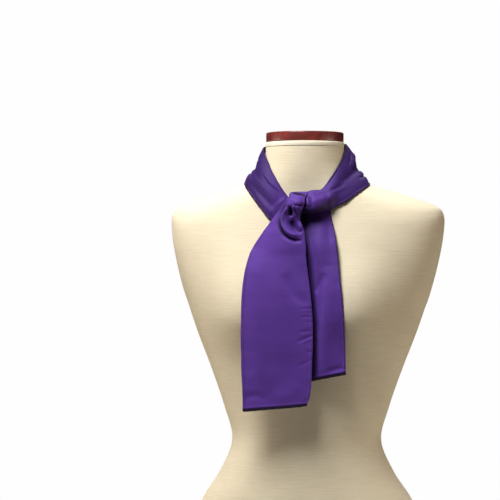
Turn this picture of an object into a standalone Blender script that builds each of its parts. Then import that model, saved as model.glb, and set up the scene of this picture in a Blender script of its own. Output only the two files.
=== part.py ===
"""Silk scarf tied at the neck of a limbless dress form.

The scarf is one long strip of cloth.  It goes round the neck with one soft
fold along its middle, crosses over itself at the front, is turned down over
the crossing, and its two ends hang over the chest.  Each stretch of the strip
that shows is an object of its own, and the layers hidden in the tie share one
rounded solid.  The dress form is a closed torso with a flat underside and a
wooden cap on its neck.

The tables hold millimetres and degrees.  +Z is up, the form faces -Y, and the
origin is the middle of its underside.
"""

import math
from collections import namedtuple

import bmesh
import bpy
from mathutils import Vector
from mathutils.bvhtree import BVHTree

MM = 0.001

CLOTH_WALL = 1.4
CLOTH_CLEARANCE = 0.8  # from the cloth to the form below it
SEAM_GAP = 0.3  # between objects that meet
LAYER_REACH = 6  # how near a layer has to be for cloth to be moved clear of it

# ------------------------------------------------------------ the torso

# Level sections from the underside to the neck: height, half of the width,
# how far the front and the back lie from the origin, and the power of the
# rounded outline (2 is an ellipse, more is squarer).
FormRing = namedtuple("FormRing", "height half_width front back power")
FORM_RINGS = (
    FormRing(0, 174, 100, 104, 2.3),
    FormRing(60, 181, 106, 118, 2.3),
    FormRing(130, 182, 110, 126, 2.3),
    FormRing(195, 173, 106, 118, 2.2),
    FormRing(249, 153, 99, 98, 2.2),
    FormRing(292, 126, 92, 80, 2.1),
    FormRing(338, 108, 88, 69, 2.1),
    FormRing(385, 119, 89, 68, 2.1),
    FormRing(440, 138, 93, 76, 2.2),
    FormRing(500, 161, 98, 86, 2.3),
    FormRing(560, 180, 97, 93, 2.6),
    FormRing(610, 192, 91, 94, 2.8),
    FormRing(645, 197, 85, 89, 2.8),
    FormRing(663, 197, 81, 83, 2.5),
    FormRing(674, 189, 79, 79, 2.2),
    FormRing(685, 161, 78, 74, 2.0),
    FormRing(697, 122, 78, 67, 1.9),
    FormRing(706, 92, 79, 60, 1.9),
    FormRing(715, 71, 81, 51, 2.0),
    FormRing(730, 61, 85, 38, 2.0),
    FormRing(748, 57, 87, 30, 2.0),
    FormRing(766, 56, 88, 26, 2.0),
)
RING_STEPS = 2  # rings made for each row of the table
RING_POINTS = 40

# The bust is two soft swellings of the front.
BUST_HEIGHT = 522
BUST_APART = 78
BUST_SWELL = 26
BUST_REACH_SIDE = 52
BUST_REACH_UP = 78
BUST_REACH_DOWN = 46

CAP_RADIUS = 55.6
CAP_BACK = 31  # from the origin back to the cap's middle, towards -Y
CAP_THICK = 13.7
CAP_EDGE = 2
CAP_SEGMENTS = 48

# ----------------------------------------------- the scarf round the neck

# Sections across the strip, from its hidden start at the front, round the
# form's right, back and left, to the end of the crossing at the front.  The
# turn is round the neck's axis, and 0 is the front.  Each section runs from
# the top edge over a middle line to the foot, given by height and distance
# from the axis, and its two halves swell outward by a share of their width.
# The middle line is a fold round the neck and the crest of the crossing.
NECK_AXIS = 28  # from the origin towards -Y
StripRow = namedtuple("StripRow", "turn top_height top_out mid_height mid_out"
                                  " foot_height foot_out top_swell foot_swell")
STRIP_ROWS = (
    StripRow(-12, 678, 54, 669, 56, 661, 57, 0.02, 0.02),
    StripRow(-20, 686, 55, 676, 58, 655, 61, 0.03, 0.04),
    StripRow(-28, 697, 57, 688, 60, 651, 66, 0.04, 0.06),
    StripRow(-37, 711, 59, 699, 63, 656, 73, 0.05, 0.08),
    StripRow(-46, 723, 59, 706, 65, 669, 77, 0.07, 0.09),
    StripRow(-57, 736, 59, 714, 67, 685, 82, 0.08, 0.10),
    StripRow(-70, 749, 59, 721, 69, 699, 85, 0.07, 0.12),
    StripRow(-83, 757, 59, 727, 70, 706, 86, 0.06, 0.13),
    StripRow(-105, 761, 60, 730, 73, 708, 89, 0.07, 0.14),
    StripRow(-130, 763, 61, 732, 76, 707, 93, 0.09, 0.12),
    StripRow(-155, 764, 61, 733, 76, 705, 94, 0.08, 0.11),
    StripRow(-180, 765, 60, 733, 75, 703, 94, 0.09, 0.12),
    StripRow(-205, 765, 60, 732, 76, 705, 94, 0.08, 0.13),
    StripRow(-230, 765, 60, 731, 77, 707, 94, 0.10, 0.12),
    StripRow(-250, 764, 59, 729, 75, 707, 92, 0.10, 0.13),
    StripRow(-262, 762, 58, 728, 73, 705, 91, 0.10, 0.13),
    StripRow(-282, 748, 58, 721, 72, 701, 92, 0.09, 0.11),
    StripRow(-292, 739, 58, 715, 70, 695, 90, 0.09, 0.09),
    StripRow(-301, 731, 59, 710, 69, 688, 86, 0.08, 0.08),
    StripRow(-309, 722, 59, 706, 68, 680, 81, 0.07, 0.08),
    StripRow(-317, 712, 59, 702, 68, 674, 76, 0.06, 0.09),
    StripRow(-325, 702, 60, 697, 70, 669, 73, 0.08, 0.13),
    StripRow(-332, 695, 60, 690, 74, 666, 72, 0.14, 0.17),
    StripRow(-340, 692, 59, 686, 78, 664, 72, 0.20, 0.20),
    StripRow(-348, 692, 58, 684, 80, 663, 73, 0.24, 0.22),
    StripRow(-356, 692, 57, 683, 80, 664, 73, 0.26, 0.22),
    StripRow(-364, 692, 57, 682, 78, 665, 71, 0.26, 0.22),
    StripRow(-371, 690, 57, 681, 74, 667, 67, 0.24, 0.20),
    StripRow(-377, 687, 57, 680, 67, 670, 62, 0.18, 0.16),
)
STRIP_ACROSS = 10  # faces across the strip
STRIP_STEPS = 2  # faces along the strip for each row

START_OF_CROSSING = 23  # the row where the band ends and the crossing starts

# ------------------------------------------------- the two hanging ends

# Sections across a hanging end, from the top down.  Each runs from its left
# edge (-X) to its right edge, given by place, height and distance in front of
# the origin, and the middle has its own distance.
EndRow = namedtuple("EndRow", "left left_height left_front middle_front"
                              " right right_height right_front")

# The front end comes out of the tie over the crossing and fans out below it.
FRONT_END_ROWS = (
    EndRow(-6, 690, 99, 99, 5, 690, 99),
    EndRow(-7, 689, 107, 109, 5.5, 689, 107),
    EndRow(-9, 684, 111, 115, 5.5, 683.5, 112),
    EndRow(-14, 679, 105, 116, 5, 677, 113),
    EndRow(-22, 674, 95, 114, 4, 671, 112),
    EndRow(-31, 664.5, 89.5, 111, 0.5, 663, 110),
    EndRow(-38, 655, 89, 109, -1, 655, 109),
    EndRow(-44.5, 645.5, 90, 109, 3, 646, 109),
    EndRow(-51.5, 636, 93, 110, 6, 636, 110),
    EndRow(-64, 616, 99, 112, 9, 616, 112),
    EndRow(-70, 602, 104.5, 113, 10.5, 602, 113),
    EndRow(-75.5, 577, 112, 115, 14, 577, 115),
    EndRow(-78.5, 545, 118.5, 118, 18, 545, 118),
    EndRow(-79, 512, 120, 120, 20, 512, 119),
    EndRow(-79, 480, 120, 120, 20, 480, 119),
    EndRow(-79, 450, 119.5, 119.5, 19, 452, 119),
    EndRow(-79, 420, 119, 119, 18, 424, 118.5),
    EndRow(-78, 387, 118, 118.5, 12, 397, 118),
)
START_OF_FRONT_END = 3  # the row where the turned part ends
TURN_GAP = 0.8  # there, where the walls of the two pieces lean together
TURN_CLEARANCE = 0.5  # from the turned part down to the crossing

# The behind end comes out below the crossing.
BEHIND_END_ROWS = (
    EndRow(-8, 664, 91, 94, 41, 664, 84.5),
    EndRow(-10, 655, 92, 96, 43, 655, 87),
    EndRow(-12, 640, 94, 98, 47, 640, 93),
    EndRow(-15, 612, 97, 101, 52.5, 612, 102),
    EndRow(-20, 577, 102, 105, 57, 577, 112),
    EndRow(-25, 545, 107, 109, 61, 548, 118),
    EndRow(-28, 510, 108.5, 111, 63.5, 515, 119),
    EndRow(-30, 475, 108.5, 110.5, 64.5, 480, 117.5),
    EndRow(-30, 420, 108, 110, 65, 439, 115.5),
)
END_ACROSS = 10
END_STEPS = 2

# The cloth of the front end is drawn into a hollow with a raised rim just
# below the turn.
HOLLOW_MIDDLE = (-7, 655)
HOLLOW_REACH = (12.5, 20)
HOLLOW_DEPTH = 5
RIM_RISE = 3
RIM_SPREAD = 0.28

# ------------------------------------------------- the layers in the tie

CORE_MIDDLE = (-1, -95, 678)
CORE_REACH = (19, 10, 13)
CORE_CLEARANCE = 0.5
CORE_SEGMENTS = (20, 12)

SHARP_ANGLE = 50

COLOURS = {
    "silk": ((0.085, 0.030, 0.24, 1), 0.42),
    "linen": ((0.74, 0.65, 0.47, 1), 0.85),
    "cherry_wood": ((0.18, 0.022, 0.018, 1), 0.28),
}


def smooth_between(rows, place):
    """The row at a place between the rows of a table, on a smooth curve."""
    last = len(rows) - 1
    first = min(int(place), last - 1)
    part = place - first
    before = rows[max(first - 1, 0)]
    after = rows[min(first + 2, last)]
    values = []
    for a, b, c, d in zip(before, rows[first], rows[first + 1], after):
        slope_b = (c - a) / 2
        slope_c = (d - b) / 2
        values.append(b + part * (slope_b + part * (3 * (c - b) - 2 * slope_b - slope_c
                                                    + part * (slope_b + slope_c - 2 * (c - b)))))
    return type(rows[first])(*values)


def places(first, last, steps):
    """Evenly spaced places from a first to a last row, some for each row."""
    count = max(2, round((last - first) * steps))
    return [first + (last - first) * i / count for i in range(count + 1)]


# ------------------------------------------------------------ the torso


def bust(x, height):
    """How far the bust stands out of the front."""
    reach_up = BUST_REACH_UP if height > BUST_HEIGHT else BUST_REACH_DOWN
    up = (height - BUST_HEIGHT) / reach_up
    side = (abs(x) - BUST_APART) / BUST_REACH_SIDE
    return BUST_SWELL * math.exp(-side * side - up * up)


def form_point(ring, turn):
    """A point of the torso on a ring, at an angle round the origin."""
    across = math.cos(turn)
    deep = math.sin(turn)
    power = 2 / ring.power
    x = ring.half_width * math.copysign(abs(across) ** power, across)
    y = (ring.back - ring.front) / 2
    y += (ring.back + ring.front) / 2 * math.copysign(abs(deep) ** power, deep)
    if deep < 0:
        y -= bust(x, ring.height) * abs(deep) ** 0.5
    return Vector((x, y, ring.height)) * MM


def form_rings():
    """The torso's rings of points, from the underside up."""
    turns = [math.tau * i / RING_POINTS for i in range(RING_POINTS)]
    rings = []
    for place in places(0, len(FORM_RINGS) - 1, RING_STEPS):
        ring = smooth_between(FORM_RINGS, place)
        rings.append([form_point(ring, turn) for turn in turns])
    return rings


# ------------------------------------------------------------ the cloth


def swollen(start, end, share, swell):
    """A point between two points of a section, on a curve that swells outward."""
    along_out = end[0] - start[0]
    along_up = end[1] - start[1]
    rise = 4 * share * (1 - share) * swell
    out = start[0] + along_out * share - along_up * rise
    up = start[1] + along_up * share + along_out * rise
    return out, up


def strip_point(place, share):
    """A point of the strip round the neck, from its top edge (0) to its foot (1)."""
    row = smooth_between(STRIP_ROWS, place)
    top = (row.top_out, row.top_height)
    middle = (row.mid_out, row.mid_height)
    foot = (row.foot_out, row.foot_height)
    if share < 0.5:
        out, height = swollen(top, middle, share * 2, row.top_swell)
    else:
        out, height = swollen(middle, foot, share * 2 - 1, row.foot_swell)
    turn = math.radians(row.turn)
    return Vector((out * math.sin(turn), -NECK_AXIS - out * math.cos(turn), height)) * MM


def end_point(rows, place, share):
    """A point of a hanging end, from its left edge (0) to its right edge (1)."""
    row = smooth_between(rows, place)
    x = row.left + (row.right - row.left) * share
    height = row.left_height + (row.right_height - row.left_height) * share
    front = row.left_front + (row.right_front - row.left_front) * share
    level = (row.left_front + row.right_front) / 2
    front += (row.middle_front - level) * 4 * share * (1 - share)
    return Vector((x, -front, height)) * MM


def front_end_point(place, share):
    """A point of the front end, with the hollow and its rim."""
    point = end_point(FRONT_END_ROWS, place, share)
    point.y -= hollow(point)
    return point


def behind_end_point(place, share):
    """A point of the behind end."""
    return end_point(BEHIND_END_ROWS, place, share)


def hollow(point):
    """How far the front end stands out at its hollow and the hollow's rim."""
    side = (point.x / MM - HOLLOW_MIDDLE[0]) / HOLLOW_REACH[0]
    up = (point.z / MM - HOLLOW_MIDDLE[1]) / HOLLOW_REACH[1]
    away = math.hypot(side, up)
    rim = RIM_RISE * math.exp(-((away - 1) / RIM_SPREAD) ** 2)
    return (rim - HOLLOW_DEPTH * math.exp(-(away * 1.5) ** 2)) * MM


def laid_on(layers, point):
    """The point, moved where it has to be to lie clear of the layers below it."""
    for surface, clearance in layers:
        nearest, normal, _, _ = surface.find_nearest(point, LAYER_REACH * MM)
        if nearest and (point - nearest).dot(normal) < clearance * MM:
            point = nearest + normal * clearance * MM
    return point


def grid_of(first, last, point_at, steps, across, layers):
    """Points over a stretch of cloth, a row of them for each section."""
    grid = []
    for place in places(first, last, steps):
        shares = [i / across for i in range(across + 1)]
        grid.append([laid_on(layers, point_at(place, share)) for share in shares])
    return grid


def drawn_back(grid, gap):
    """The grid with its last section drawn back to leave a gap to the next piece."""
    ends = []
    for before, end in zip(grid[-2], grid[-1]):
        ends.append(end + (before - end).normalized() * gap * MM)
    return grid[:-1] + [ends]


# ------------------------------------------------------------ objects


def clear_scene():
    for item in list(bpy.data.objects):
        bpy.data.objects.remove(item)


def make_material(name):
    colour, roughness = COLOURS[name]
    material = bpy.data.materials.new(name)
    material.use_nodes = True
    shader = material.node_tree.nodes["Principled BSDF"]
    shader.inputs["Base Color"].default_value = colour
    shader.inputs["Roughness"].default_value = roughness
    return material


def add_object(name, solid, material, collection):
    """An object from a bmesh, with its material, in the part's collection."""
    mesh = bpy.data.meshes.new(name)
    solid.to_mesh(mesh)
    solid.free()
    mesh.materials.append(material)
    mesh.shade_smooth()
    mesh.set_sharp_from_angle(angle=math.radians(SHARP_ANGLE))
    item = bpy.data.objects.new(name, mesh)
    collection.objects.link(item)
    return item


def surface_of(item):
    """The faces of an object, to lay cloth on."""
    corners = [vertex.co for vertex in item.data.vertices]
    return BVHTree.FromPolygons(corners, [face.vertices for face in item.data.polygons])


def make_torso(collection, linen):
    """A closed loft through the level rings, flat at both ends."""
    solid = bmesh.new()
    loops = [[solid.verts.new(point) for point in ring] for ring in form_rings()]
    for low, high in zip(loops, loops[1:]):
        for i in range(RING_POINTS):
            j = (i + 1) % RING_POINTS
            solid.faces.new((low[i], low[j], high[j], high[i]))
    solid.faces.new(reversed(loops[0]))
    solid.faces.new(loops[-1])
    return add_object("dress_form", solid, linen, collection)


def make_cap(collection, wood):
    """The turned wooden disc on the neck."""
    disc = bmesh.new()
    bmesh.ops.create_cone(disc, cap_ends=True, segments=CAP_SEGMENTS, radius1=CAP_RADIUS * MM,
                          radius2=CAP_RADIUS * MM, depth=CAP_THICK * MM)
    cap = add_object("neck_cap", disc, wood, collection)
    middle = FORM_RINGS[-1].height + SEAM_GAP + CAP_THICK / 2
    cap.location = Vector((0, -CAP_BACK, middle)) * MM
    edge = cap.modifiers.new("rounded_edge", "BEVEL")
    edge.width = CAP_EDGE * MM
    edge.segments = 2
    edge.limit_method = "ANGLE"
    return cap


def make_cloth(name, grid, material, collection):
    """Cloth through a grid of points, with a wall that grows outward from them."""
    sheet = bmesh.new()
    rows = [[sheet.verts.new(point) for point in row] for row in grid]
    for row, following in zip(rows, rows[1:]):
        for i in range(len(row) - 1):
            sheet.faces.new((row[i], following[i], following[i + 1], row[i + 1]))
    item = add_object(name, sheet, material, collection)
    wall = item.modifiers.new("wall", "SOLIDIFY")
    wall.thickness = CLOTH_WALL * MM
    wall.offset = 1
    return item


def make_turn(grid, crossing, material, collection):
    """The turned cloth of the front end, with its folds filled down to the crossing.

    Each section is a closed ring: over the outside from left to right, and
    back along the crossing.
    """
    solid = bmesh.new()
    loops = []
    for row in grid:
        outside = []
        inside = []
        for point in row:
            foot, normal, _, _ = crossing.find_nearest(point)
            outside.append(solid.verts.new(point + normal * CLOTH_WALL * MM))
            inside.append(solid.verts.new(foot + normal * (CLOTH_WALL + TURN_CLEARANCE) * MM))
        loops.append(outside + inside[::-1])
    for loop, following in zip(loops, loops[1:]):
        for i in range(len(loop)):
            j = (i + 1) % len(loop)
            solid.faces.new((loop[i], following[i], following[j], loop[j]))
    solid.faces.new(loops[0])
    solid.faces.new(reversed(loops[-1]))
    return add_object("scarf_turn", solid, material, collection)


def make_core(crossing, layers, material, collection):
    """The layers hidden in the tie, as one rounded solid under the crossing."""
    solid = bmesh.new()
    bmesh.ops.create_uvsphere(solid, u_segments=CORE_SEGMENTS[0], v_segments=CORE_SEGMENTS[1],
                              radius=MM)
    for vertex in solid.verts:
        point = Vector(CORE_MIDDLE) * MM
        for axis in range(3):
            point[axis] += vertex.co[axis] * CORE_REACH[axis]
        nearest, normal, _, _ = crossing.find_nearest(point, LAYER_REACH * MM)
        if nearest and (point - nearest).dot(normal) > -CORE_CLEARANCE * MM:
            point = nearest - normal * CORE_CLEARANCE * MM
        vertex.co = laid_on(layers, point)
    return add_object("scarf_core", solid, material, collection)


def make_scarf(torso, silk, collection):
    """The strip's stretches, from the neck outward, each clear of those below it."""
    layers = [(surface_of(torso), CLOTH_CLEARANCE)]
    strip = (strip_point, STRIP_STEPS, STRIP_ACROSS, layers)
    band = grid_of(0, START_OF_CROSSING, *strip)
    crossing = grid_of(START_OF_CROSSING, len(STRIP_ROWS) - 1, *strip)
    behind = grid_of(0, len(BEHIND_END_ROWS) - 1, behind_end_point, END_STEPS, END_ACROSS, layers)
    band = make_cloth("scarf_band", drawn_back(band, SEAM_GAP), silk, collection)
    crossing = make_cloth("scarf_crossing", crossing, silk, collection)
    behind = make_cloth("scarf_end_behind", behind, silk, collection)

    above_cloth = CLOTH_WALL + SEAM_GAP
    layers += [(surface_of(item), above_cloth) for item in (band, behind)]
    crossing = surface_of(crossing)
    make_core(crossing, layers, silk, collection)

    layers.append((crossing, above_cloth))
    end = (front_end_point, END_STEPS, END_ACROSS, layers)
    turn = grid_of(0, START_OF_FRONT_END, *end)
    front = grid_of(START_OF_FRONT_END, len(FRONT_END_ROWS) - 1, *end)
    make_turn(drawn_back(turn, TURN_GAP), crossing, silk, collection)
    make_cloth("scarf_end_front", front, silk, collection)


def main():
    clear_scene()
    collection = bpy.data.collections.new("silk_scarf_on_dress_form")
    bpy.context.scene.collection.children.link(collection)
    silk, linen, wood = (make_material(name) for name in COLOURS)
    torso = make_torso(collection, linen)
    make_cap(collection, wood)
    make_scarf(torso, silk, collection)


main()
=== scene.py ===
# %% [markdown]
# # A silk scarf tied on a dress form
#
# A dress form is a padded body covered in tight linen, with a turned wooden
# cap on its neck.  The scarf is one long strip of silk, hemmed all round.  It
# goes round the neck, crosses itself once at the front, and its two ends hang
# over the chest.
#
# The first cell loads the solid model of the part.  Its pieces have the right
# size and place, so every finer piece below is laid where they are.

# %% Load the solid model
import math
from collections import namedtuple

import bmesh
import bpy
import numpy as np
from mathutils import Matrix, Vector
from mathutils.bvhtree import BVHTree

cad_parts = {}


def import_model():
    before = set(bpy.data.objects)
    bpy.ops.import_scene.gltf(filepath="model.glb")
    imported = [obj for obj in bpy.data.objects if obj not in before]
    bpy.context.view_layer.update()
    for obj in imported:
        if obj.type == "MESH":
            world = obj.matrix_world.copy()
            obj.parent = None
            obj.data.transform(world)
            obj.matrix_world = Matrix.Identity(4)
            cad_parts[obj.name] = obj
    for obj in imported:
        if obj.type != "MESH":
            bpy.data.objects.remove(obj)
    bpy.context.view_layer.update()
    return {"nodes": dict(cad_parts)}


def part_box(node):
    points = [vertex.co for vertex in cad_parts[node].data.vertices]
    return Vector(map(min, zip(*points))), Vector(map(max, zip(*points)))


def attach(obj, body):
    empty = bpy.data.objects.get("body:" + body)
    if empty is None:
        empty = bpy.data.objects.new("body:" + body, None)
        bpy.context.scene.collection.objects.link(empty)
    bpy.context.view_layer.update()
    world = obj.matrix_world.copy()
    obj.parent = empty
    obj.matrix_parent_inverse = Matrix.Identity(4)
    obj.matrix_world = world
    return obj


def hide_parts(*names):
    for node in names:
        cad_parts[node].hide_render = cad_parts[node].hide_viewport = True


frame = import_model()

MM = 0.001
print("nodes:", ", ".join(sorted(frame["nodes"])))

# %% [markdown]
# ## The camera
#
# The form is seen level, from the height of its chest and from a little to one
# side, by a long lens a good way off.  A level camera keeps upright lines
# upright, and a long lens makes near and far parts nearly one size.  In all
# that follows, left and right are as seen from the front.

# %% Camera
CAMERA_PLACE = (0.2795, -2.5863, 0.612)
CAMERA_TURN = 8  # degrees, towards the form
LENS, SENSOR = 128.75, 36


def add_item(name, data):
    """An object in the scene that shows some data."""
    item = bpy.data.objects.new(name, data)
    bpy.context.scene.collection.objects.link(item)
    return item


camera = add_item("catalogue_camera", bpy.data.cameras.new("catalogue_camera"))
camera.data.lens = LENS
camera.data.sensor_width = SENSOR
camera.location = CAMERA_PLACE
camera.rotation_euler = (math.radians(90), 0, math.radians(CAMERA_TURN))
bpy.context.scene.camera = camera
print("camera", round(math.hypot(*CAMERA_PLACE[:2]), 2), "m from the form")

# %% [markdown]
# ## Floor, lights and background
#
# The form stands on a plain pale disc.  The key lamp is small and near, high
# in front on the left, so its light falls off down the form and each fold
# throws a soft shadow down and to the right.  Low lamps on both sides stand
# for the walls of a studio, and one behind lights the back.  A Light Path node
# shows the world as white behind the form, while the world's own light on the
# form is very weak.

# %% Floor
FLOOR_RADIUS = 0.6


def new_material(name):
    """A material, its node tree and its Principled shader."""
    material = bpy.data.materials.new(name)
    material.use_nodes = True
    return material, material.node_tree, material.node_tree.nodes["Principled BSDF"]


def set_inputs(node, **values):
    """Constants on a node's own inputs.  An underscore stands for a space in a title."""
    for title, value in values.items():
        node.inputs[title.replace("_", " ")].default_value = value


disc = bmesh.new()
bmesh.ops.create_circle(disc, cap_ends=True, segments=96, radius=FLOOR_RADIUS)
floor = add_item("studio_floor", bpy.data.meshes.new("studio_floor"))
disc.to_mesh(floor.data)
disc.free()
floor_paint, _, paint_shader = new_material("pale_floor")
set_inputs(paint_shader, Base_Color=(0.7, 0.69, 0.67, 1), Roughness=0.7)
floor.data.materials.append(floor_paint)
print("floor", 2 * FLOOR_RADIUS, "m across")


# %% Lamps
CHEST = Vector((0, 0, 0.6))
WHITE, COOL, WARM = (1, 1, 1), (0.95, 0.97, 1), (1, 0.88, 0.73)


def add_lamp(name, turn, rise, watts, colour=WHITE, size=1.0, distance=1.9):
    """A square soft lamp that faces the chest, its size and distance in metres.

    turn is the angle from the front, more than 0 to the right, and rise the
    angle above the horizon.
    """
    turn, rise = math.radians(turn), math.radians(rise)
    level = math.cos(rise)
    away = Vector((math.sin(turn) * level, -math.cos(turn) * level, math.sin(rise)))
    lamp = add_item(name, bpy.data.lights.new(name, "AREA"))
    lamp.data.size = size
    lamp.data.energy = watts
    lamp.data.color = colour
    lamp.location = CHEST + away * distance
    lamp.rotation_euler = (-away).to_track_quat("-Z", "Y").to_euler()
    print(name, watts, "W")


add_lamp("key_lamp", -25, 58, 25.5, COOL, size=0.5, distance=1.2)
add_lamp("right_wall", 83, -12, 12.5, WARM)
add_lamp("left_wall", -82, -12, 15, WARM)
add_lamp("back_lamp", 180, 62, 16)

# %% World
world = bpy.data.worlds.new("white_studio")
world.use_nodes = True
bpy.context.scene.world = world
sky = world.node_tree
sky.nodes.clear()


def add_node(tree, kind, fed=None, **values):
    """A node in a tree, with outputs of other nodes fed to some inputs and constants on others."""
    node = tree.nodes.new(kind)
    for socket, source in (fed or {}).items():
        tree.links.new(source, node.inputs[socket])
    set_inputs(node, **values)
    return node


shown = add_node(sky, "ShaderNodeBackground", Color=(0.99, 0.99, 0.99, 1))
lighting = add_node(sky, "ShaderNodeBackground", Color=(0.97, 0.98, 1, 1), Strength=0.02)
ray = add_node(sky, "ShaderNodeLightPath")
either = add_node(sky, "ShaderNodeMixShader", {"Fac": ray.outputs["Is Camera Ray"],
                                               1: lighting.outputs["Background"],
                                               2: shown.outputs["Background"]})
add_node(sky, "ShaderNodeOutputWorld", {"Surface": either.outputs["Shader"]})
bpy.context.scene.view_settings.view_transform = "Standard"
print("world:", len(sky.nodes), "nodes")

# %% [markdown]
# ## Effects that several materials share
#
# Two node groups are built once and used in each material with other values.
# *cloth weave* turns a UV map, laid out in metres, into the over and under of
# crossing threads.  *uneven tone* mixes two colours by soft noise, because no
# dyed or woven cloth, and no piece of wood, has one flat colour.


# %% Helpers for node groups
def new_group(name, inputs, outputs):
    """An empty shader node group, and its input and output nodes."""
    group = bpy.data.node_groups.new(name, "ShaderNodeTree")
    for title, kind, value in inputs:
        socket = group.interface.new_socket(title, in_out="INPUT", socket_type=kind)
        if value is not None:
            socket.default_value = value
    for title, kind in outputs:
        group.interface.new_socket(title, in_out="OUTPUT", socket_type=kind)
    return group, group.nodes.new("NodeGroupInput"), group.nodes.new("NodeGroupOutput")


def math_node(tree, operation, *values):
    """A Math node's result.  Each value is a number or another node's output."""
    node = tree.nodes.new("ShaderNodeMath")
    node.operation = operation
    for socket, value in zip(node.inputs, values):
        if isinstance(value, (int, float)):
            socket.default_value = value
        else:
            tree.links.new(value, socket)
    return node.outputs[0]


def ranged(tree, value, low, high, start=0, end=1):
    """A value from start to end, spread between low and high."""
    return add_node(tree, "ShaderNodeMapRange", {"Value": value},
                    From_Min=start, From_Max=end, To_Min=low, To_Max=high).outputs["Result"]


# %% Weave group
FLOAT, VECTOR, COLOUR = "NodeSocketFloat", "NodeSocketVector", "NodeSocketColor"


def build_weave_group():
    """Threads that cross: rounded ribs one way, then the other, in a checkerboard."""
    group, given, out = new_group(
        "cloth weave",
        [("Place", VECTOR, None), ("Threads per metre", FLOAT, 2500), ("Wander", FLOAT, 0.2)],
        [("Height", FLOAT)])
    place = given.outputs["Place"]
    drift = add_node(group, "ShaderNodeTexNoise", {"Vector": place}, Scale=90, Detail=2)
    axes = add_node(group, "ShaderNodeSeparateXYZ", {"Vector": place})
    wander = math_node(group, "MULTIPLY", drift.outputs["Fac"], given.outputs["Wander"])
    ribs = []
    for axis in ("X", "Y"):
        count = math_node(group, "MULTIPLY", axes.outputs[axis], given.outputs["Threads per metre"])
        phase = math_node(group, "MULTIPLY", math_node(group, "ADD", count, wander), math.pi)
        ribs.append(math_node(group, "SINE", phase))
    crossing = math_node(group, "MULTIPLY", ribs[0], ribs[1])
    group.links.new(math_node(group, "MULTIPLY_ADD", crossing, 0.5, 0.5), out.inputs["Height"])
    return group


weave_group = build_weave_group()
print("group:", weave_group.name)


# %% Uneven tone group
NOISE_RANGE = 0.3, 0.7  # nearly all of a noise's values lie between these
MIX_FACTOR, MIX_FIRST, MIX_SECOND, MIX_COLOUR = 0, 6, 7, 2  # a Mix node's sockets for colours


def mixed(tree, first, second, blend="MULTIPLY", factor=None):
    """Two colours put together: wholly, or as far as a factor says."""
    node = tree.nodes.new("ShaderNodeMix")
    node.data_type = "RGBA"
    node.blend_type = blend
    node.inputs[MIX_FACTOR].default_value = 1
    if factor is not None:
        tree.links.new(factor, node.inputs[MIX_FACTOR])
    tree.links.new(first, node.inputs[MIX_FIRST])
    tree.links.new(second, node.inputs[MIX_SECOND])
    return node.outputs[MIX_COLOUR]


def build_tone_group():
    """Two tones of one colour, mixed by soft patches."""
    group, given, out = new_group(
        "uneven tone",
        [("Place", VECTOR, None), ("Light tone", COLOUR, (1, 1, 1, 1)),
         ("Dark tone", COLOUR, (0, 0, 0, 1)), ("Patches per metre", FLOAT, 20)],
        [("Color", COLOUR), ("Mask", FLOAT)])
    patches = add_node(group, "ShaderNodeTexNoise",
                       {"Vector": given.outputs["Place"], "Scale": given.outputs["Patches per metre"]},
                       Detail=4, Roughness=0.6)
    mask = ranged(group, patches.outputs["Fac"], 0, 1, *NOISE_RANGE)
    colour = mixed(group, given.outputs["Dark tone"], given.outputs["Light tone"], "MIX", mask)
    group.links.new(colour, out.inputs["Color"])
    group.links.new(mask, out.inputs["Mask"])
    return group


tone_group = build_tone_group()
print("group:", tone_group.name)

# %% [markdown]
# ## Materials
#
# *Silk*: smooth twill with a low sheen.  Its own purple is deep, and soft
# light makes it violet.  *Linen*: heavy and cream, with thick weft threads
# (slubs) running round the body, which catch the light as fine level lines.
# *Cherry wood*: dark red stain under clear lacquer, so it has grain below and
# a sharp gloss above.


# %% Material helpers
def use_group(tree, group, place, **values):
    """A group placed in a material and given its own values."""
    node = tree.nodes.new("ShaderNodeGroup")
    node.node_tree = group
    tree.links.new(place, node.inputs["Place"])
    set_inputs(node, **values)
    return node


def cloth_place(tree):
    """Where a point is on its cloth, in metres, from the UV map."""
    node = tree.nodes.new("ShaderNodeUVMap")
    node.uv_map = "cloth"
    return node.outputs["UV"]


def stretched(tree, place, scale):
    """The place, with its axes scaled unevenly."""
    return add_node(tree, "ShaderNodeMapping", {"Vector": place}, Scale=scale).outputs["Vector"]


def finish_surface(tree, shader, colour, roughness, height, depth):
    """A colour, a roughness and a relief, of a depth in metres, fed to a shader."""
    bump = add_node(tree, "ShaderNodeBump", {"Height": height}, Distance=depth, Strength=1)
    tree.links.new(colour, shader.inputs["Base Color"])
    tree.links.new(roughness, shader.inputs["Roughness"])
    tree.links.new(bump.outputs["Normal"], shader.inputs["Normal"])


# %% Silk
def make_silk():
    """Purple silk.  Its tone is multiplied by painted light and shade on the cloth, explained below."""
    material, tree, shader = new_material("purple_silk")
    place = cloth_place(tree)
    tone = use_group(tree, tone_group, stretched(tree, place, (1, 0.35, 1)), Patches_per_metre=45,
                     Light_tone=(0.126, 0.050, 0.335, 1), Dark_tone=(0.102, 0.038, 0.272, 1))
    weave = use_group(tree, weave_group, place, Threads_per_metre=2600, Wander=0.5)
    # The colour is multiplied by painted light and shade, an attribute on the cloth.
    painted_light = tree.nodes.new("ShaderNodeAttribute")
    painted_light.attribute_name = "painted_light"
    colour = mixed(tree, tone.outputs["Color"], painted_light.outputs["Fac"])
    roughness = ranged(tree, tone.outputs["Mask"], 0.6, 0.54)
    finish_surface(tree, shader, colour, roughness, weave.outputs["Height"], 0.03 * MM)
    set_inputs(shader, Specular_IOR_Level=0.28, Specular_Tint=(0.62, 0.45, 1, 1), Sheen_Weight=0.05,
               Sheen_Roughness=0.45, Sheen_Tint=(0.35, 0.2, 0.75, 1))
    return material


silk = make_silk()
print("material:", silk.name)


# %% Linen
SLUB_RISE = 2.2  # how far the slubs stand out, against 1 for the threads


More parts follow.
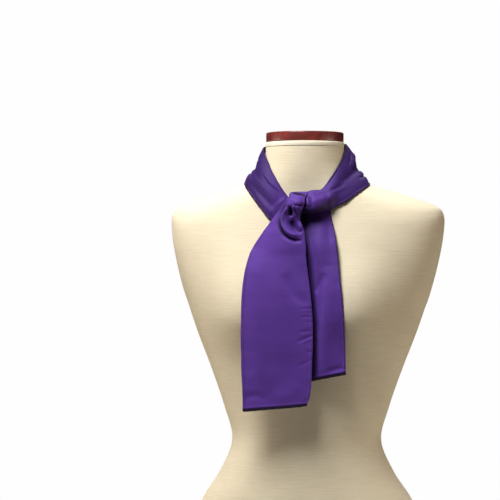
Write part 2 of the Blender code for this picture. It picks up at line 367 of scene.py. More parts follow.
def make_linen(name, light, dark):
    """Cream linen.  Long thin noise makes the slubs, in its colour and its relief."""
    material, tree, shader = new_material(name)
    place = cloth_place(tree)
    tone = use_group(tree, tone_group, place, Patches_per_metre=14, Light_tone=light, Dark_tone=dark)
    slubs = add_node(tree, "ShaderNodeTexNoise", {"Vector": stretched(tree, place, (28, 620, 1))},
                     Scale=1, Detail=3, Roughness=0.65).outputs["Fac"]
    weave = use_group(tree, weave_group, place, Threads_per_metre=1500, Wander=1.2)
    relief = math_node(tree, "MULTIPLY_ADD", slubs, SLUB_RISE, weave.outputs["Height"])
    colour = mixed(tree, tone.outputs["Color"], ranged(tree, slubs, 0.92, 1.04, *NOISE_RANGE))
    finish_surface(tree, shader, colour, ranged(tree, slubs, 0.95, 0.8), relief, 0.12 * MM)
    set_inputs(shader, Sheen_Weight=0.15, Sheen_Roughness=0.6)
    return material


linen = make_linen("cream_linen", (0.80, 0.69, 0.485, 1), (0.755, 0.64, 0.44, 1))
binding_linen = make_linen("binding_linen", (0.84, 0.76, 0.58, 1), (0.80, 0.71, 0.53, 1))
print("materials:", linen.name, binding_linen.name)


# %% Cherry wood
def make_cherry():
    """Stained wood.  Stretched noise warps straight bands into grain, under a clear coat."""
    material, tree, shader = new_material("lacquered_cherry")
    where = add_node(tree, "ShaderNodeTexCoord").outputs["Object"]
    tone = use_group(tree, tone_group, stretched(tree, where, (0.25, 1, 1)), Patches_per_metre=60,
                     Light_tone=(0.235, 0.034, 0.026, 1), Dark_tone=(0.125, 0.016, 0.014, 1))
    bands = add_node(tree, "ShaderNodeTexWave", {"Vector": stretched(tree, where, (0.2, 1, 1.4))},
                     Scale=55, Distortion=5, Detail=3)
    bands.bands_direction = "Y"
    grain = bands.outputs["Fac"]
    colour = mixed(tree, tone.outputs["Color"], ranged(tree, grain, 0.72, 1.1))
    finish_surface(tree, shader, colour, ranged(tree, grain, 0.42, 0.3), grain, 0.04 * MM)
    set_inputs(shader, Coat_Weight=0.35, Coat_Roughness=0.22)
    return material


cherry = make_cherry()
print("material:", cherry.name)

# %% [markdown]
# ## Reading a shape from a table
#
# Each main shape is a short table: a row for each section, a column for each
# size, in millimetres.  Between the rows every column follows a smooth
# (Catmull-Rom) curve, so that few rows give a soft form.  *numpy* works on a
# whole grid of points at once, which is far quicker than a loop.


# %% Smooth tables
def smooth_rows(table, places):
    """The columns of a table at places between its rows, on smooth curves."""
    rows = np.array(table, float)
    last = len(rows) - 1
    places = np.clip(places, 0, last)
    first = np.minimum(places.astype(int), last - 1)
    part = (places - first)[:, None]
    a, b, c, d = (rows[np.clip(first + step, 0, last)] for step in (-1, 0, 1, 2))
    slope_b, slope_c = (c - a) / 2, (d - b) / 2
    bend = 3 * (c - b) - 2 * slope_b - slope_c
    return b + part * (slope_b + part * (bend + part * (slope_b + slope_c - 2 * (c - b))))


# %% Meshes from grids
def grid_faces(index):
    """The four corners of each face, from a grid's point numbers."""
    corners = index[:-1, :-1], index[1:, :-1], index[1:, 1:], index[:-1, 1:]
    return np.stack(corners, axis=-1).reshape(-1, 4)


def grid_mesh(name, points, flat, material, close=False, caps=False):
    """A mesh through a grid of points in mm, with a UV map in metres.

    points is rows x columns x 3 and flat is rows x columns x 2.  A closed grid
    joins its last column, a copy of the first, to the first.  The UV map keeps
    both, so it has no seam that runs backwards.  Caps close both open rings.
    """
    rows, columns = points.shape[:2]
    own = columns - 1 if close else columns
    index = np.arange(rows * own).reshape(rows, own)
    if close:
        index = np.concatenate([index, index[:, :1]], axis=1)
    flat_index = np.arange(rows * columns).reshape(rows, columns)
    corners = points[:, :own].reshape(-1, 3) * MM
    polygons = grid_faces(index).tolist()
    spots = flat.reshape(-1, 2)[grid_faces(flat_index).ravel()]
    if caps:
        for ring in (index[0, :own], index[-1, :own][::-1]):
            polygons.append(ring.tolist())
            spots = np.concatenate([spots, corners[ring][:, :2]])
    mesh = bpy.data.meshes.new(name)
    mesh.from_pydata(corners.tolist(), [], polygons)
    mesh.uv_layers.new(name="cloth").data.foreach_set("uv", spots.ravel())
    mesh.materials.append(material)
    mesh.shade_smooth()
    return add_item(name, mesh)


def set_out(item, slot, *nodes):
    """A finished piece rides with the part and stands for its nodes."""
    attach(item, "root")
    if nodes:
        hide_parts(*nodes)
    print(item.name, len(item.data.polygons), "faces")


# %% [markdown]
# ## The linen cover
#
# The torso is padded and has no hard line but its underside and the rims of
# its arm plates, the flat discs that close the armholes.  It is a stack of
# level rings.  A ring is a *superellipse*: power 2 is an ellipse, and more is
# squarer, as a chest is.  The bust is two soft bumps added to the front.

# %% The torso's table
FormRing = namedtuple("FormRing", "height half_width front back power")
FORM_RINGS = (
    FormRing(0, 174, 100, 104, 2.3),
    FormRing(60, 181, 106, 118, 2.3),
    FormRing(130, 182, 110, 126, 2.3),
    FormRing(195, 173, 106, 118, 2.2),
    FormRing(249, 153, 99, 98, 2.2),
    FormRing(292, 126, 92, 80, 2.1),
    FormRing(338, 108, 88, 69, 2.1),
    FormRing(385, 119, 89, 68, 2.1),
    FormRing(440, 138, 93, 76, 2.2),
    FormRing(500, 161, 98, 86, 2.3),
    FormRing(560, 180, 97, 93, 2.6),
    FormRing(610, 192, 91, 94, 2.8),
    FormRing(645, 197, 85.3, 89, 2.8),
    FormRing(663, 197, 82.5, 83, 2.5),
    FormRing(674, 189, 81.5, 79, 2.2),
    FormRing(685, 161, 81.2, 74, 2.0),
    FormRing(697, 122, 81.5, 67, 1.9),
    FormRing(706, 92, 82.3, 60, 1.9),
    FormRing(715, 71, 83.4, 51, 2.0),
    FormRing(730, 61, 85.3, 38, 2.0),
    FormRing(748, 57, 87, 30, 2.0),
    FormRing(766, 56, 88, 26, 2.0),
)
print("torso:", len(FORM_RINGS), "rings in its table")

# %% Rings of the torso
BUST_HEIGHT, BUST_APART, BUST_SWELL = 522, 78, 26
BUST_REACH_SIDE, BUST_REACH_UP, BUST_REACH_DOWN = 52, 78, 46


def bust(x, height):
    """How far the bust stands out of the front."""
    reach_up = np.where(height > BUST_HEIGHT, BUST_REACH_UP, BUST_REACH_DOWN)
    up = (height - BUST_HEIGHT) / reach_up
    side = (np.abs(x) - BUST_APART) / BUST_REACH_SIDE
    return BUST_SWELL * np.exp(-side * side - up * up)


def form_points(places, turns):
    """Points of the torso at places in its table, at angles round the origin."""
    height, half_width, front, back, power = smooth_rows(FORM_RINGS, places).T[..., None]
    across, deep = np.cos(turns), np.sin(turns)
    x = half_width * np.sign(across) * np.abs(across) ** (2 / power)
    y = (back - front) / 2 + (back + front) / 2 * np.sign(deep) * np.abs(deep) ** (2 / power)
    y -= np.where(deep < 0, bust(x, height) * np.abs(deep) ** 0.5, 0)
    return np.stack([x, y, height + 0 * x], axis=-1)


# %% Arm plates
PLATE_MIDDLE, PLATE_REACH = (2, 596), (44, 62)  # y and height, seen from the side
PLATE_RISE, PLATE_EDGE = 1.1, 0.05
ARMHOLE_OUT = 100  # the sides of the form are all further out than this


def with_arm_plates(points):
    """The torso with a flat oval plate under the linen at each armhole."""
    x, y, z = points[..., 0], points[..., 1], points[..., 2]
    away = np.hypot((y - PLATE_MIDDLE[0]) / PLATE_REACH[0], (z - PLATE_MIDDLE[1]) / PLATE_REACH[1])
    rise = PLATE_RISE / (1 + np.exp((away - 1) / PLATE_EDGE))
    raised = points.copy()
    raised[..., 0] += np.sign(x) * rise * (np.abs(x) > ARMHOLE_OUT)
    return raised


# %% Linen cover
RING_POINTS = 224
RINGS_A_ROW = 8
BASE_ROLL = 4  # the radius of the edge of the underside


def rolled_base(points):
    """Rings that turn the side under into the flat underside."""
    rings = []
    for share in (0, 0.35, 0.7, 1):
        angle = share * math.pi / 2
        inset = BASE_ROLL * (1 - math.sin(angle))
        ring = points[0].copy()
        length = np.hypot(ring[:, 0], ring[:, 1])[:, None]
        ring[:, :2] *= 1 - inset / length
        ring[:, 2] = BASE_ROLL * (1 - math.cos(angle))
        rings.append(ring)
    return np.array(rings)


def flat_round(points):
    """The UV of rings: length round the ring, and height, in metres."""
    steps = np.linalg.norm(np.diff(points, axis=1), axis=2)
    along = np.concatenate([np.zeros((len(points), 1)), np.cumsum(steps, axis=1)], axis=1)
    return np.stack([along * MM, points[..., 2] * MM], axis=-1)


ring_turns = math.pi / 2 + np.linspace(0, math.tau, RING_POINTS + 1)
ring_places = np.linspace(0, len(FORM_RINGS) - 1, (len(FORM_RINGS) - 1) * RINGS_A_ROW + 1)
torso = with_arm_plates(form_points(ring_places, ring_turns))
above_base = torso[:, 0, 2] > BASE_ROLL + 1
torso = np.concatenate([rolled_base(torso), torso[above_base]])[::-1]
cover = grid_mesh("linen_cover", torso, flat_round(torso), linen, close=True, caps=True)
set_out(cover, "linen", "dress_form")

# %% [markdown]
# ## The binding at the neck
#
# A narrow strip of linen is turned over the top edge of the neck, so it is a
# little thicker than the cover.  It is a ring with a rounded section, and the
# two rows where the section closes are merged.

# %% Neck binding
NECK_PLACE = len(FORM_RINGS) - 1.2  # in the torso's table, just below its last row
BINDING_LOW, BINDING_HIGH, BINDING_OUT = 759.0, 765.8, 0.5
BINDING_SECTION = ((-1, 0), (0, 0), (0.45, 0.14), (0.85, 0.36), (1, 0.6), (0.85, 0.86), (0.3, 1), (-1, 1))


def binding_points():
    """The neck's outline, moved out and up along the binding's section."""
    neck = form_points(np.array([NECK_PLACE]), ring_turns)[0]
    middle = neck[:-1].mean(axis=0)
    away = neck - middle
    away /= np.linalg.norm(away, axis=1)[:, None]
    rings = []
    for out, up in BINDING_SECTION + BINDING_SECTION[:1]:
        ring = neck + away * out * BINDING_OUT
        ring[:, 2] = BINDING_LOW + (BINDING_HIGH - BINDING_LOW) * up
        rings.append(ring)
    return np.array(rings)


binding_rings = binding_points()[::-1]
binding = grid_mesh("neck_binding", binding_rings, flat_round(binding_rings), binding_linen,
                    close=True)
seam = bmesh.new()
seam.from_mesh(binding.data)
bmesh.ops.remove_doubles(seam, verts=seam.verts, dist=0.01 * MM)
seam.to_mesh(binding.data)
seam.free()
set_out(binding, "linen")

# %% [markdown]
# ## The turned cap
#
# A wood turner works a disc on a lathe, so its shape is a half section spun
# round an axis.  The edges are eased with sandpaper, and a shallow bead near
# the rim catches the light on the flat top.

# %% Cherry cap
cap_low, cap_high = (np.array(corner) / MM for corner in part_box("neck_cap"))
cap_middle = (cap_low + cap_high) / 2
cap_radius = (cap_high[0] - cap_low[0]) / 2
cap_thick = cap_high[2] - cap_low[2]
CAP_POINTS = 192
CAP_EDGE = 1.5  # the radius of its edges
EDGE_STOPS = 6  # points along a quarter of that radius
CAP_SHARP = 50  # degrees: a sharper bend is kept as a corner
CAP_UNDERSIDE = ((0.01, 0), (cap_radius * 0.6, 0))
CAP_TOP = ((0.94, 0), (0.925, 0.35), (0.91, 0.45), (0.895, 0.35), (0.88, 0), (0.5, 0), (0.0002, 0))


def cap_section():
    """Radius and height of the half section, from the middle below to the middle on top."""
    section = list(CAP_UNDERSIDE)
    for height, first in ((CAP_EDGE, -90), (cap_thick - CAP_EDGE, 0)):
        for bend in np.radians(np.linspace(first, first + 90, EDGE_STOPS)):
            out = cap_radius - CAP_EDGE + CAP_EDGE * math.cos(bend)
            section.append((out, height + CAP_EDGE * math.sin(bend)))
    for share, drop in CAP_TOP:
        section.append((cap_radius * share, cap_thick - drop))
    return section


spin = np.linspace(0, math.tau, CAP_POINTS + 1)
cap_rings = []
for radius, height in cap_section():
    ring = np.stack([radius * np.cos(spin), radius * np.sin(spin), np.full_like(spin, height)], axis=-1)
    cap_rings.append(ring + (cap_middle[0], cap_middle[1], cap_low[2]))
cap_rings = np.array(cap_rings)[::-1]
cap = grid_mesh("cherry_cap", cap_rings, flat_round(cap_rings), cherry, close=True, caps=True)
cap.data.set_sharp_from_angle(angle=math.radians(CAP_SHARP))
set_out(cap, "cherry_wood", "neck_cap")

# %% [markdown]
# ## The strip of silk as a surface
#
# The scarf's stretches follow tables too.  Round the neck a section runs from
# the top edge over a middle crease to the foot, and the turn is the angle
# round the neck: 0 at the front, and less than 0 going round by the left and
# the back.  On a hanging end a section is nearly a level line from the left
# edge to the right.  The tables follow those of the solid model closely, so the
# cloth has its form; its wall is thinner, and lies at the solid's outer face.

# %% Tables of the scarf
NECK_AXIS = 28  # from the origin towards -Y
StripRow = namedtuple("StripRow", "turn top_height top_out mid_height mid_out"
                                  " foot_height foot_out top_swell foot_swell")
STRIP_ROWS = (
    StripRow(-12, 678, 54, 669, 56, 661, 57, 0.02, 0.02),
    StripRow(-20, 686, 55, 676, 58, 655, 61, 0.03, 0.04),
    StripRow(-28, 697, 57, 688, 60, 651, 66, 0.04, 0.06),
    StripRow(-37, 711, 59, 698, 66, 656, 72, 0.05, 0.10),
    StripRow(-46, 723, 59, 706, 70, 669, 76, 0.07, 0.12),
    StripRow(-57, 736, 59, 715, 73, 685, 81, 0.08, 0.14),
    StripRow(-70, 749, 59, 722, 73, 699, 85, 0.07, 0.15),
    StripRow(-83, 757, 59, 727, 70, 706, 86, 0.06, 0.13),
    StripRow(-105, 761, 60, 730, 73, 708, 89, 0.07, 0.14),
    StripRow(-130, 763, 61, 732, 76, 707, 93, 0.09, 0.12),
    StripRow(-155, 764, 61, 733, 76, 705, 94, 0.08, 0.11),
    StripRow(-180, 765, 60, 733, 75, 703, 94, 0.09, 0.12),
    StripRow(-205, 765, 60, 732, 76, 705, 94, 0.08, 0.13),
    StripRow(-230, 765, 60, 731, 77, 707, 94, 0.10, 0.12),
    StripRow(-250, 764, 59, 729, 75, 707, 92, 0.10, 0.13),
    StripRow(-262, 762, 58, 728, 73, 705, 91, 0.10, 0.13),
    StripRow(-282, 748, 58, 721, 72, 701, 92, 0.09, 0.11),
    StripRow(-292, 739, 58, 715, 70, 695, 90, 0.09, 0.09),
    StripRow(-301, 731, 59, 710, 69, 688, 86, 0.08, 0.08),
    StripRow(-309, 722, 59, 706, 68, 680, 81, 0.07, 0.08),
    StripRow(-317, 712, 59, 701, 70, 674, 74, 0.06, 0.12),
    StripRow(-325, 702, 60, 695, 73, 669, 70.5, 0.08, 0.20),
    StripRow(-332, 695.5, 60, 685, 76, 667, 65.5, 0.14, 0.30),
    StripRow(-340, 695, 59, 680, 79, 666, 65, 0.12, 0.36),
    StripRow(-348, 693.5, 58, 678, 80, 665, 66, 0.16, 0.37),
    StripRow(-356, 690, 57, 677, 76.5, 665, 66, 0.11, 0.36),
    StripRow(-364, 688.5, 57, 677, 74, 666, 65.5, 0.11, 0.32),
    StripRow(-369, 687, 57, 678, 71, 666, 63.5, 0.12, 0.24),
)
EndRow = namedtuple("EndRow", "left left_height left_front middle_front"
                              " right right_height right_front")
FRONT_END_ROWS = (
    EndRow(-10.5, 689.5, 89, 89, 9, 690, 87),
    EndRow(-11.5, 692.7, 95, 95, 10, 692.7, 93),
    EndRow(-12.3, 691.3, 97.5, 98, 10.2, 690.3, 96.5),
    EndRow(-12.9, 690.3, 98.6, 99.5, 10, 688.4, 98),
    EndRow(-13.5, 690, 102, 104.5, 9.8, 688, 101.5),
    EndRow(-15.5, 686.5, 104, 109.5, 8.5, 686.5, 106),
    EndRow(-16.5, 683, 104, 114.5, 7, 681.5, 111),
    EndRow(-19, 679, 101, 116, 8, 676.5, 113),
    EndRow(-24.5, 673.5, 94, 114.5, 5, 671.5, 112),
    EndRow(-31, 664.5, 92.5, 111, 2, 664, 110),
    EndRow(-38, 655, 94, 109, 1, 655, 109),
    EndRow(-44.5, 645.5, 95, 109, 4, 646, 109),
    EndRow(-51.5, 636, 97, 110, 7, 636, 110),
    EndRow(-64, 616, 99, 112, 9.5, 616, 112),
    EndRow(-70, 602, 104.5, 113, 10, 602, 113),
    EndRow(-75.5, 577, 111.5, 118, 13, 577, 114),
    EndRow(-78.5, 545, 116.5, 122, 17.5, 545, 119),
    EndRow(-79, 512, 118, 123.5, 20, 512, 119.5),
    EndRow(-79.5, 480, 118.5, 123.5, 20, 480, 119.5),
    EndRow(-79, 450, 118.5, 122, 19, 452, 120),
    EndRow(-77.5, 420, 119, 120.5, 18, 424, 119),
    EndRow(-77, 399, 119, 120.3, 15.5, 406.5, 119),
    EndRow(-77, 391, 118.8, 120, 12.6, 399.5, 118.8),
    EndRow(-77, 388.4, 117, 118.2, 12, 397, 117),
    EndRow(-77, 387.3, 114.4, 115.6, 12, 396, 114.4),
)
BEHIND_END_ROWS = (
    EndRow(-8, 672, 84.5, 86.5, 40, 674, 83),
    EndRow(-9, 664, 86, 88, 41.5, 665, 83.8),
    EndRow(-10, 655, 87.5, 90.5, 43, 655, 85),
    EndRow(-11, 646, 90.5, 94, 45.5, 646, 88),
    EndRow(-12.5, 634, 95, 99.5, 48.5, 634, 94),
    EndRow(-15, 612, 100, 106, 52.5, 612, 104),
    EndRow(-20, 577, 101, 107, 57, 577, 112.5),
    EndRow(-25, 545, 102, 109.5, 61, 548, 117.5),
    EndRow(-28, 510, 102, 111, 63.5, 515, 118),
    EndRow(-30, 475, 102, 109.5, 64.5, 480, 112),
    EndRow(-30, 432, 102, 109, 65, 450, 109.5),
    EndRow(-30, 424.5, 101.8, 108.8, 65, 443.5, 109.3),
    EndRow(-30, 421.9, 100, 107, 65, 440.9, 107.5),
    EndRow(-30, 420.8, 97.4, 104.4, 65, 439.8, 104.9),
)
print("rows:", len(STRIP_ROWS), "round the neck,", len(FRONT_END_ROWS), "on the end in front,",
      len(BEHIND_END_ROWS), "on the end behind")


# %% Points of the strip and of the ends
def strip_points(places, shares):
    """The strip round the neck, from its top edge (share 0) to its foot (1)."""
    row = StripRow(*smooth_rows(STRIP_ROWS, places).T[..., None])
    upper = shares < 0.5
    part = np.where(upper, shares * 2, shares * 2 - 1)
    start_out = np.where(upper, row.top_out, row.mid_out)
    start_up = np.where(upper, row.top_height, row.mid_height)
    along_out = np.where(upper, row.mid_out, row.foot_out) - start_out
    along_up = np.where(upper, row.mid_height, row.foot_height) - start_up
    rise = 4 * part * (1 - part) * np.where(upper, row.top_swell, row.foot_swell)
    out = start_out + along_out * part - along_up * rise
    up = start_up + along_up * part + along_out * rise
    turn = np.radians(row.turn)
    return np.stack([out * np.sin(turn), -NECK_AXIS - out * np.cos(turn), up], axis=-1)


CREASE_SOFTNESS = 0.035  # the share of the width over which the middle crease is rounded
EDGE_SLOPE = 6  # how fast that reach grows from nothing at an edge


def soft_strip_points(places, shares):
    """The strip with its middle crease rounded, as an average of three points."""
    reach = CREASE_SOFTNESS * np.minimum(1, EDGE_SLOPE * np.minimum(shares, 1 - shares))
    return sum(strip_points(places, shares + step * reach) for step in (-1, 0, 1)) / 3


def end_points(table, places, shares):
    """A hanging end, from its left edge (share 0) to its right edge (1)."""
    row = EndRow(*smooth_rows(table, places).T[..., None])
    x = row.left + (row.right - row.left) * shares
    height = row.left_height + (row.right_height - row.left_height) * shares
    front = row.left_front + (row.right_front - row.left_front) * shares
    level = (row.left_front + row.right_front) / 2
    front += (row.middle_front - level) * 4 * shares * (1 - shares)
    return np.stack([x, -front, height], axis=-1)


# %% [markdown]
# ## Spacing the grid
#
# A fold a few millimetres wide needs points about a millimetre apart, and a
# narrow hem needs more.  So the grid is spaced by length along the cloth, not
# by the rows of the table, and is closer in the hems.

# %% Even spacing
HEM_STATIONS = (0, 0.3, 0.7, 1.2, 1.8, 2.4, 2.9, 3.3, 3.6, 3.9, 4.3, 5)
PLACES_TRIED = 1200  # points along the middle of the cloth by which it is measured


def spread(length, step, hems=(True, True)):
    """Distances over a length, closer together in a hem at its start or end."""
    start = np.array(HEM_STATIONS if hems[0] else (0,), float)
    end = length - np.array(HEM_STATIONS if hems[1] else (0,), float)[::-1]
    count = round((end[0] - start[-1]) / step)
    middle = np.linspace(start[-1], end[0], count + 1)
    return np.concatenate([start[:-1], middle, end[1:]])


def even_places(surface, first, last, step, hem_at_end=False):
    """Places in a table at even lengths along the middle of the cloth, and those lengths."""
    tried = np.linspace(first, last, PLACES_TRIED)
    line = surface(tried, np.array([0.5]))[:, 0]
    length = np.concatenate([[0], np.cumsum(np.linalg.norm(np.diff(line, axis=0), axis=1))])
    wanted = spread(length[-1], step, (False, hem_at_end))
    return np.interp(wanted, length, tried), wanted


# %% [markdown]
# ## Laying cloth on cloth
#
# A layer has to lie clear of what is under it.  A *BVH tree* finds the nearest
# point of the layer below quickly.  A point that is too near, or behind it, is
# lifted along that layer's normal.  Past the edge of the lower layer the lift
# fades out, as cloth does over a step.  The lifts are blurred over the grid, and
# a little averaging of neighbours takes the corners off afterwards.

# %% Layers
LAYER_REACH = 9  # how deep a point may lie below a layer and still be lifted
EDGE_FADE = 3  # how far past a layer's edge the lift fades out


def normals_of(points):
    """The outward normal at each point of a grid."""
    along = np.gradient(points, axis=0)
    across = np.gradient(points, axis=1)
    normal = np.cross(along, across)
    return normal / np.maximum(np.linalg.norm(normal, axis=2), 1e-9)[..., None]


def surface_of(points):
    """A grid of points as a surface that cloth can be laid on."""
    rows, columns = points.shape[:2]
    faces = grid_faces(np.arange(rows * columns).reshape(rows, columns))
    return BVHTree.FromPolygons(points.reshape(-1, 3).tolist(), faces.tolist())


def blurred(moves, times):
    """Moves of a grid's points, each averaged with its neighbours' moves."""
    for _ in range(times):
        wide = np.pad(moves, ((1, 1), (1, 1), (0, 0)), mode="edge")
        around = wide[:-2, 1:-1] + wide[2:, 1:-1] + wide[1:-1, :-2] + wide[1:-1, 2:]
        moves = moves / 2 + around / 8
    return moves


def laid_on(points, surface, clearance, blur=4):
    """The points, lifted where they are nearer to a surface than the clearance."""
    lifted = points.reshape(-1, 3).copy()
    for i, place in enumerate(lifted):
        point = Vector(place)
        nearest, normal, _, _ = surface.find_nearest(point, LAYER_REACH)
        if nearest is None:
            continue
        height = (point - nearest).dot(normal)
        beside = (point - nearest - normal * height).length
        if height < clearance and beside < EDGE_FADE:
            lifted[i] = point + normal * (clearance - height) * (1 - beside / EDGE_FADE)
    return points + blurred(lifted.reshape(points.shape) - points, blur)


def laid_clear(points, layers, blur=4):
    """The points laid on one surface after another, each with its clearance."""
    for surface, clearance in layers:
        points = laid_on(points, surface, clearance, blur)
    return points


def relaxed(points, times):
    """The grid with each point moved half-way to the middle of its neighbours.

    An inner point has four.  A point on the border has the two beside it there.
    """
    points = points.copy()
    for _ in range(times):
        middle = (points[:-2, 1:-1] + points[2:, 1:-1] + points[1:-1, :-2] + points[1:-1, 2:]) / 4
        points[1:-1, 1:-1] += (middle - points[1:-1, 1:-1]) / 2
        for edge in (points[0], points[-1], points[:, 0], points[:, -1]):
            edge[1:-1] += ((edge[:-2] + edge[2:]) / 2 - edge[1:-1]) / 2
    return points


# %% [markdown]
# ## Folds
#
# A fold is a soft ridge or trough along a path.  Each is given by how
# far it rises (less than 0 for a trough), how wide its left and right flanks
# are, seen walking along the path, and the path's points.  Real folds have one
# steep flank and one slack one, and no two are alike.  A fold fades out at
# both ends of its path, so a path that runs off the cloth keeps its height.

# %% Folds
Fold = namedtuple("Fold", "rise left_flank right_flank path")
STEPS_A_STOP = 6  # a path is followed in this many straight steps for each of its points


def fold_rise(fold, flat):
    """How far a fold lifts points, given by two coordinates in millimetres."""
    stops = len(fold.path)
    path = smooth_rows(fold.path, np.linspace(0, stops - 1, STEPS_A_STOP * stops))
    start, step = path[:-1], np.diff(path, axis=0)
    size = np.linalg.norm(step, axis=1)
    run = np.concatenate([[0], np.cumsum(size)])
    points = flat.reshape(-1, 1, 2)
    away = points - start
    share = np.clip((away * step).sum(axis=2) / size**2, 0, 1)
    gap = away - share[..., None] * step
    distance = np.linalg.norm(gap, axis=2)
    best = distance.argmin(axis=1)
    pick = np.arange(len(best))
    side = step[best, 0] * gap[pick, best, 1] - step[best, 1] * gap[pick, best, 0]
    flank = np.where(side > 0, fold.left_flank, fold.right_flank)
    along = (run[best] + share[pick, best] * size[best]) / run[-1]
    fade = 1 - np.abs(2 * along - 1) ** 3
    rise = fold.rise * fade * np.exp(-((distance[pick, best] / flank) ** 2))
    return rise.reshape(flat.shape[:2])


def with_folds(points, rise):
    """The grid moved out along its normals."""
    return points + normals_of(points) * rise[..., None]


# %% [markdown]
# ## Hems
#
# The edges of the strip are rolled in and sewn down by hand.  The roll makes
# them a little thicker, the stitches pull a shallow groove beside it, and the
# thread draws up small ripples, or puckers, at uneven steps.  These are drawn
# from a seeded random generator, so each run gives the same ones.

# %% Hems and puckers
HEM_WIDTH, HEM_RISE = 3.3, 0.3
GROOVE_BESIDE, GROOVE_WIDTH, GROOVE_DEPTH = 0.3, 0.45, 0.14
PUCKER_HEIGHT, PUCKER_WIDTH, PUCKER_LENGTH = (0.06, 0.3), (1.2, 2.4), (3, 9)
FIRST_PUCKER, PUCKER_STEP = (2, 8), (4, 15)


def hem_rise(inward):
    """A rolled hem's thickness, and the groove its stitches pull, at a distance from the edge."""
    roll = np.sqrt(np.clip(1 - ((inward - HEM_WIDTH / 2) / (HEM_WIDTH / 2)) ** 2, 0, 1))
    groove = np.exp(-(((inward - HEM_WIDTH - GROOVE_BESIDE) / GROOVE_WIDTH) ** 2))
    return HEM_RISE * roll - GROOVE_DEPTH * groove


def pucker_rise(along, inward, seed):
    """Small ripples drawn up by the hem's stitches, at uneven steps along an edge."""
    dice = np.random.default_rng(seed)
    rise = np.zeros(np.broadcast(along, inward).shape)
    place = dice.uniform(*FIRST_PUCKER)
    while place < along.max():
        height = dice.uniform(*PUCKER_HEIGHT)
        wide = dice.uniform(*PUCKER_WIDTH)
        deep = dice.uniform(*PUCKER_LENGTH)
        rise = rise + height * np.exp(-(((along - place) / wide) ** 2) - (inward / deep) ** 2)
        place += dice.uniform(*PUCKER_STEP)
    return rise


# %% [markdown]
# ## The band and the crossing
#
# From its hidden start the strip runs round the neck and over itself at the
# front.  It is one sheet here, with its main crease along the middle.  The
# smaller folds are of three kinds: long ones that run round the neck, given by
# turn and share of the width; a few on the left that run into the tie; and the
# tight ones of the crossing, given as seen from the front.

# %% Places on the strip
STRIP_WIDTH = 72  # the cloth is slack across, so it shows narrower than its cut
STRIP_STEPS = 1.25, 1.15  # from point to point, along and across
SHARES = spread(STRIP_WIDTH, STRIP_STEPS[1]) / STRIP_WIDTH
strip_places, strip_along = even_places(strip_points, 0, len(STRIP_ROWS) - 1, STRIP_STEPS[0])
strip_turns = smooth_rows(STRIP_ROWS, strip_places)[:, 0]
strip_flat = np.stack(np.meshgrid(strip_along, SHARES * STRIP_WIDTH, indexing="ij"), axis=-1)
print("strip grid", strip_flat.shape[:2], "length", round(strip_along[-1]), "mm")


# %% Folds of the strip
def round_path(*stops):
    """A path round the neck from stops of (turn, share), in millimetres along and across."""
    return tuple((np.interp(-turn, -strip_turns, strip_along), share * STRIP_WIDTH)
                 for turn, share in stops)


ROUND_FOLDS = (
    Fold(-2.9, 3.2, 2.4, round_path((-205, 0.84), (-235, 0.80), (-262, 0.75), (-288, 0.70))),
    Fold(1.8, 3.0, 4.5, round_path((-215, 0.28), (-245, 0.25), (-272, 0.30), (-288, 0.36))),
    Fold(-1.9, 2.2, 3.5, round_path((-60, 0.62), (-80, 0.66), (-110, 0.70), (-150, 0.66))),
    Fold(2.4, 5.0, 3.0, round_path((-112, 0.18), (-145, 0.24), (-185, 0.22), (-205, 0.18))),
    Fold(-2.9, 2.6, 4.0, round_path((-155, 0.78), (-190, 0.70), (-228, 0.66))),
    Fold(2.4, 3.0, 4.0, round_path((-172, 0.38), (-205, 0.42), (-245, 0.38))),
    Fold(-2.2, 2.5, 3.5, round_path((-92, 0.26), (-118, 0.36), (-146, 0.42), (-162, 0.54))),
    Fold(2.3, 4.0, 5.0, round_path((-125, 0.86), (-168, 0.88), (-205, 0.84))),
    Fold(-1.2, 1.6, 2.4, round_path((-258, 0.12), (-276, 0.20), (-290, 0.26))),
    Fold(-1.0, 1.6, 2.4, round_path((-70, 0.15), (-82, 0.26), (-96, 0.33))),
    Fold(-1.6, 2.0, 3.0, round_path((-226, 0.56), (-248, 0.60), (-272, 0.56))),
    Fold(-2.6, 2.2, 3.0, round_path((-118, 0.52), (-150, 0.54), (-190, 0.50), (-214, 0.44))),
    Fold(2.2, 2.6, 3.4, round_path((-95, 0.86), (-112, 0.82), (-135, 0.80))),
)
